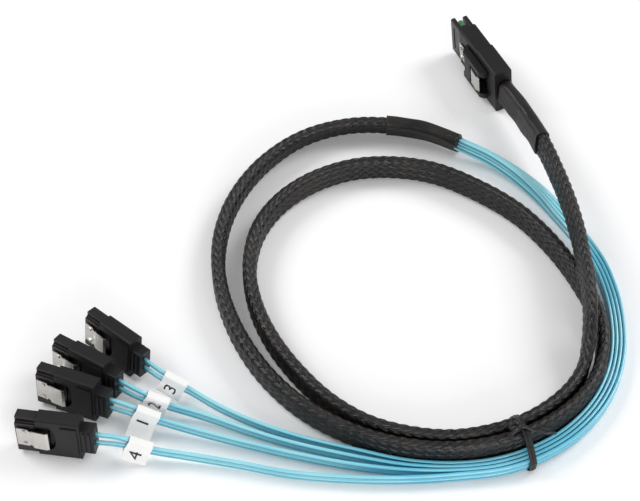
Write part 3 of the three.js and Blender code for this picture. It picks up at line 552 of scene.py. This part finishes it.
# Number, nose on the bench in x and y, heading and lean of each small plug
SMALL_PLUGS = [(4, -87.3, -73.6, -8, -10), (1, -83.3, -57.0, -20, -11), (2, -79.6, -46.6, -30, -11),
               (3, -70.7, -36.2, -38.5, -11)]
HOOD_WIDTH, HOOD_THICK, HOOD_ROUND = 14.4, 5.0, 0.7
PLUG_BACK = 23.1


def plug_place(x, y, heading, lean, width, thick, radius):
    """Turns a plug's own millimetres into bench millimetres"""
    tip = radians(lean)
    rise = (width / 2 - radius) * cos(tip) + (thick / 2 - radius) * abs(sin(tip)) + radius
    turned = Matrix.Rotation(radians(heading), 4, "Z") @ Matrix.Rotation(tip, 4, "X")
    return Matrix.Translation((x, y, rise)) @ turned


small_places = [plug_place(x, y, heading, lean, HOOD_WIDTH, HOOD_THICK, HOOD_ROUND)
                for number, x, y, heading, lean in SMALL_PLUGS]
bundle = np.array([p[:3] for p in BUNDLE_POINTS], float)
bundle_tips = np.radians([p[3] if len(p) > 3 else 0.0 for p in BUNDLE_POINTS])
bundle_ahead = np.gradient(Line(BUNDLE_POINTS).fine, axis=0)[np.arange(len(bundle)) * FINE]
bundle_ahead /= np.linalg.norm(bundle_ahead, axis=1)[:, None]


def leg_points(leg, row):
    """One wire's route: its place in the bundle, its leg's own route, and the way into its plug"""
    side = np.cross([0, 0, 1], bundle_ahead)
    side /= np.linalg.norm(side, axis=1)[:, None]
    side = side * np.cos(bundle_tips)[:, None] + np.cross(bundle_ahead, side) * np.sin(bundle_tips)[:, None]
    tall = np.cross(bundle_ahead, side)
    up = (row - 0.5) * ROW_PITCH
    common = bundle + side * (1.5 - leg) * LEG_PITCH + tall * up
    spread = (row - 0.5) * PLUG_ROW_PITCH
    lead = [small_places[leg] @ Vector((PLUG_BACK + off, 0, spread * share))
            for off, share in ((7, 0.9), (0.3, 1))]
    return ([list(p) + [np.degrees(t)] for p, t in zip(common, bundle_tips)]
            + [[x, y, z + up] for x, y, z in LEG_POINTS[leg]] + [list(p) for p in lead])


jacket = Finish("wire_jacket", 0x6CCBE2, 0.18, coat_weight=1.0, coat_roughness=0.05, ior=1.5)
around = jacket.add("ShaderNodeSeparateXYZ", {"Vector": jacket.place["UV"]})["X"]
# The jacket is painted a deeper teal (0x2A90AC) along the waist groove on both flat faces. This is painted
# shade in the crease between the two conductors.
waist_groove_shade = jacket.math("ABSOLUTE", jacket.math("SINE", jacket.math("MULTIPLY", around, 2 * pi)))
hue = jacket.blend(jacket.span(jacket.noise(28.0, 2.0), 0.35, 0.65, 0.0, 1.0), 0xA4E9F4, 0x70CFE9)
jacket.set("Base Color", jacket.blend(jacket.span(waist_groove_shade, 0.0, 0.5, 1.0, 0.0), hue, 0x2A90AC))

# The outline of two conductors side by side, with a waist between them
turns = np.linspace(0, 2 * pi, 24, endpoint=False)
lobes = 1 - 0.42 * np.exp(-(np.sin(turns) / 0.22) ** 2)
twin = np.column_stack([np.cos(turns) * WIRE_THICK / 2 * 1.1 * np.abs(np.cos(turns)) ** -0.35 * lobes,
                        np.sign(np.sin(turns)) * np.abs(np.sin(turns)) ** 0.8 * WIRE_TALL / 2])
wires = {}
for leg, (number, *rest) in enumerate(SMALL_PLUGS):
    for row in range(2):
        line = Line(leg_points(leg, row))
        line.sample(-INSIDE_TUBE, line.length + INSIDE_PLUG, WIRE_STEP)
        wire = sweep(f"leg_{number}_jacket_{row + 1}", line, twin, jacket)
        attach(wire, "root")
        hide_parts(f"leg_{number}_wire_{row + 1}")
        wires[number, row] = wire, line


# Small plugs
# Moulded nylon: a keyed nose, a hood with a thumb scoop, a pad and a ribbed strain relief, and a nickelled
# spring leaf that latches on the socket. They stand on edge on the table.

# The lip that closes the side of the nose's keyed slot, in the plug's own millimetres
SLOT_LIP = (0.05, 5.9, -1.75, -1.1, 4.5, 5.35)


def dress(node, finish):
    """Gives a node of the frame a finish"""
    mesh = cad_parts[node].data
    mesh.materials.clear()
    mesh.materials.append(finish.material)


hood_black = Finish("hood_nylon", 0x151517, 0.46, specular_ior_level=0.38)
hood_black.set("Roughness", hood_black.span(hood_black.noise(120.0), 0.3, 0.7, 0.4, 0.54))
hood_black.bump(hood_black.noise(2500.0, 2.0), 0.00002)
nose_black = Finish("nose_nylon", 0x1A1516, 0.36)
nose_black.set("Roughness", nose_black.span(nose_black.noise(200.0), 0.3, 0.7, 0.3, 0.46))
nickel = Finish("nickelled_spring", 0xD6D3CE, 0.3, metallic=1.0)
nickel.set("Roughness", nickel.span(nickel.noise(400.0), 0.3, 0.7, 0.22, 0.4))
gilt = Finish("gilt_contact", 0xD9B45A, 0.28, metallic=1.0)
gilt.set("Roughness", gilt.span(gilt.noise(600.0), 0.3, 0.7, 0.2, 0.4))


def solid(name, boxes, place, finish, soft=0.12):
    """Boxes (x0, x1, y0, y1, z0, z1) in a plug's own millimetres, with softened edges, as one piece"""
    points, faces = [], []
    for x0, x1, y0, y1, z0, z1 in boxes:
        base = len(points)
        points += [(x, y, z) for x in (x0, x1) for y in (y0, y1) for z in (z0, z1)]
        faces += [[base + i for i in f] for f in ((0, 1, 3, 2), (4, 6, 7, 5), (0, 4, 5, 1), (2, 3, 7, 6),
                                                  (0, 2, 6, 4), (1, 5, 7, 3))]
    points = [(place @ Vector(p) - Vector(BENCH)) * MM for p in points]
    obj = new_piece(name, points, faces, finish)
    edge = obj.modifiers.new("edge", "BEVEL")
    edge.width = soft * MM
    edge.segments = 2
    return obj


for (number, *rest), place in zip(SMALL_PLUGS, small_places):
    lip = solid(f"sata_lip_{number}", [SLOT_LIP], place, nose_black)
    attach(lip, "root")
    dress(f"sata_hood_{number}", hood_black)
    dress(f"sata_nose_{number}", nose_black)
    dress(f"sata_latch_{number}", nickel)
    dress(f"sata_contacts_{number}", gilt)


# Wide plug
# Two moulded plates hold a green board between them; a black cover with a raised guard carries a
# nickelled latch, pressed behind the guard's bridge.

laminate = Finish("board_laminate", 0x2F8A5A, 0.4)
laminate.set("Roughness", laminate.span(laminate.noise(500.0), 0.3, 0.7, 0.32, 0.5))
# Nose on the bench in x and y, heading, lean, width, thickness and radius of the edges
wide_place = plug_place(51.9, 98.4, -67, 8, 18.8, 6.7, 0.8)
PADS = 16
PAD_PITCH = 0.8
PAD_FRONT, PAD_REAR = 1.3, 4.3
PAD_HALF = 0.27
# The height of the board's two faces, on which the gilt pads are laid, and half a pad's thickness
BOARD_FACE = 0.56
PAD_SINK = 0.05
pad_boxes = [(PAD_FRONT, PAD_REAR, side * BOARD_FACE - PAD_SINK, side * BOARD_FACE + PAD_SINK,
              z - PAD_HALF, z + PAD_HALF)
             for side in (-1, 1) for z in (np.arange(PADS) - (PADS - 1) / 2) * PAD_PITCH]
pads = solid("board_pads", pad_boxes, wide_place, gilt, 0.02)
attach(pads, "root")
dress("sas_nose_frame", nose_black)
dress("sas_paddle_board", laminate)
dress("sas_cover", hood_black)
dress("sas_latch_guard", hood_black)
dress("sas_latch_leaf", nickel)


# Labels
# White paper wrapped round each leg, its ends stuck together as a flag. The leg's number is printed on the
# flag, or above the flag's fold where the next label would hide it.

paper = Finish("label_paper", 0xFCFBFA, 0.8)
paper.bump(paper.noise(900.0, 4.0), 0.00003)
ink = Finish("label_ink", 0x17171B, 0.6)
# Distance of each label from its plug, its flag's reach, its tip's height, and the digit's place on the
# flag, from 0 at the fold to 1 at the hem; below 0 it is above the fold
LABELS = [(12.4, 2.0, 1.2, 0.36), (11.2, 5.4, 1.6, 0.1), (12.4, 2.0, 2.6, -0.6), (11.0, 2.0, 2.6, 0.3)]
DIGIT_SIZE = 5.4
LABEL_HALF = 3.7
PAPER_ROOM = 0.6
PAPER_OFF = 0.625
INK_OFF = 0.1
INK_OFF_UPRIGHT = 0.6
for (number, *rest), (off, reach, tip, share) in zip(SMALL_PLUGS, LABELS):
    dress(f"label_{number}", paper)
    lines = [wires[number, row][1] for row in range(2)]
    ends = [[copy(line).sample(line.length - off + d, line.length - off + d + 1, 1).place[0]
             for line in lines] for d in (0, LABEL_HALF, -LABEL_HALF)]
    middle, back, front = (Vector(np.mean(pair, axis=0)) for pair in ends)
    half_tall = np.linalg.norm(ends[0][1] - ends[0][0]) / 2 + WIRE_TALL / 2 + PAPER_ROOM
    away = (front - back).normalized()
    across = Vector((0, 0, 1)).cross(away).normalized()
    up = away.cross(across)
    fold = Vector((0, -WIRE_THICK / 2 - PAPER_OFF, 0.5 - 0.55 * half_tall))
    hem = Vector((0, fold.y - reach, tip - middle.z + 0.5))
    rise = (fold - hem).normalized()
    if share < 0:
        # Above the fold the paper stands upright against the wires
        hem, rise = fold - Vector((0, 0, (fold - hem).length)), Vector((0, 0, 1))
    outwards = Vector((0, -rise.z, rise.y))
    spot = fold.lerp(hem, share) + outwards * (INK_OFF if share >= 0 else INK_OFF_UPRIGHT)
    text = bpy.data.curves.new(f"digit_{number}", "FONT")
    text.body = str(number)
    text.size = DIGIT_SIZE * MM
    text.align_x = text.align_y = "CENTER"
    shown = bpy.data.objects.new(f"digit_{number}", text)
    bpy.context.collection.objects.link(shown)
    mesh = bpy.data.meshes.new_from_object(shown.evaluated_get(bpy.context.evaluated_depsgraph_get()))
    bpy.data.objects.remove(shown)
    turned = Matrix((away, across, up)).transposed()
    face = Matrix((turned @ rise, -away, turned @ outwards)).transposed().to_4x4()
    at = (middle + turned @ spot - Vector(BENCH)) * MM
    mesh.transform(Matrix.Translation(at) @ face)
    mesh.materials.clear()
    mesh.materials.append(ink.material)
    digit = bpy.data.objects.new(f"digit_{number}", mesh)
    bpy.context.collection.objects.link(digit)
    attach(digit, "root")


# Twist tie
# A flat black plastic strip with a steel wire in its middle goes once round the coil. Its ends are twisted
# into a knot, and two thin tails lie on the sleeve.

tie_black = Finish("tie_plastic", 0x101012, 0.4)
tie_black.bump(tie_black.noise(700.0), 0.0001)
TIE_PLACE = Matrix.Translation((58.2, -75.4, 0)) @ Matrix.Rotation(radians(20), 4, "Z")
TIE_WIDTH = 2.1
TIE_THICK = 0.5
# The strip's section, in its width and its thickness, with a ridge over the wire
TIE_SECTION = ((-0.5, 0), (0.5, 0), (0.5, 0.6), (0.12, 0.6), (0.0, 1.0), (-0.12, 0.6), (-0.5, 0.6))
# The strip's line across the coil: [outward from its middle, height]
TIE_LINE = [(-7.3, 0.4), (0.0, 0.35), (7.6, 0.4), (8.5, 1.3), (8.5, 4.4), (7.8, 5.7), (5.4, 8.2), (2.8, 10.4),
            (1.4, 10.9), (-1.0, 10.9), (-3.6, 10.7), (-5.3, 9.2), (-6.8, 5.0), (-7.5, 1.0)]
strip = np.array(TIE_LINE)
strip_ahead = np.roll(strip, -1, 0) - np.roll(strip, 1, 0)
strip_out = np.column_stack([strip_ahead[:, 1], -strip_ahead[:, 0]])
strip_out /= np.linalg.norm(strip_ahead, axis=1)[:, None]
points, faces, sides = [], [], len(TIE_SECTION)
for (y, z), (out_y, out_z) in zip(strip, strip_out):
    for x, thick in TIE_SECTION:
        points.append((x * TIE_WIDTH, -(y + out_y * thick * TIE_THICK), z + out_z * thick * TIE_THICK))
for i in range(len(strip)):
    here, there = i * sides, (i + 1) % len(strip) * sides
    faces += [(here + j, there + j, there + (j + 1) % sides, here + (j + 1) % sides) for j in range(sides)]
strip_faces = len(faces)

# The knot winds round itself three times between its two tails, and is fatter than they are
KNOT = np.array([-2.4, 0.4, 11.9])
KNOT_SIZE = 1.1
KNOT_WINDS = 3
KNOT_REACH = 2.2
TAIL_HALF, KNOT_FATTER = 0.7, 0.5
STRAND_STEP, STRAND_TWIST, STRAND_SIDES = 0.35, 0.3, 8
loops = np.linspace(0, 1, 22) * 2 * pi
wound = KNOT_WINDS * loops
ball = np.column_stack([np.cos(wound), np.sin(wound) * np.cos(loops), np.sin(wound) * np.sin(loops)])
tail_left = np.array([[-6.4, -1.6, -0.9], [-3.2, -1.9, -0.8]])
tail_right = np.array([[3.2, -1.2, -0.6], [6.8, -3.4, -1.1], [10.6, -5.0, -1.4]])
knot_line = Line(np.vstack([tail_left, ball * KNOT_SIZE, tail_right]) + KNOT, STRAND_STEP)
faces += loft_faces(len(knot_line.place), STRAND_SIDES, len(points))
wind = np.linspace(0, 2 * pi, STRAND_SIDES, endpoint=False)
for i, (place, across, tall) in enumerate(zip(knot_line.place, knot_line.across, knot_line.tall)):
    thick = 0.75 + 0.25 * np.cos(2 * (wind - i * STRAND_TWIST))
    rim = across * (np.cos(wind) * thick)[:, None] + tall * (np.sin(wind) * thick)[:, None]
    strand = TAIL_HALF + KNOT_FATTER * np.exp(-(np.linalg.norm(place - KNOT) / KNOT_REACH) ** 2)
    points += [tuple(p) for p in place + rim * strand]
tie = new_piece("tie_strip", [(TIE_PLACE @ Vector(p) - Vector(BENCH)) * MM for p in points], faces, tie_black)
tie.data.polygons.foreach_set("use_smooth", [i >= strip_faces for i in range(len(faces))])
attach(tie, "root")
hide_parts("twist_tie")


# Cords
# The trunk's line and each wire's line are turned into places in metres here, and nothing is kept of them.

trunk.world()[0]
trunk.world()
for (number, row), (wire, line) in wires.items():
    line.world()[0]
    line.world()
